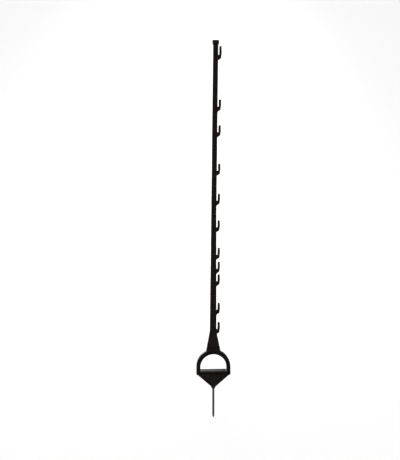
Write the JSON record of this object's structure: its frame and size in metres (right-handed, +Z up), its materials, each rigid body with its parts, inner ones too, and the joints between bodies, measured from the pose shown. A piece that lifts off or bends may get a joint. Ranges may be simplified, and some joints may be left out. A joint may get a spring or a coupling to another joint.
{
  "type": "step-in fence post",
  "caption": "Step-in fence post with a tapered double-T shaft, open wire hooks up one side, a stirrup with a tread, an anchor blade and a steel ground spike.",
  "frame": {"origin": "on the spike's axis, where the spike leaves the moulding's socket", "axes": "+Z up along the post, +X towards the side that carries the hooks, Y front to back across the tread"},
  "size_m": [0.1406, 0.042, 1.56],
  "materials": {
    "black_polypropylene": "injection-moulded, satin from the tool",
    "galvanised_steel": "drawn bar, dull zinc coat"
  },
  "bodies": {
    "root": {"post_moulding": "black_polypropylene", "ground_spike": "galvanised_steel"}
  },
  "joints": []
}
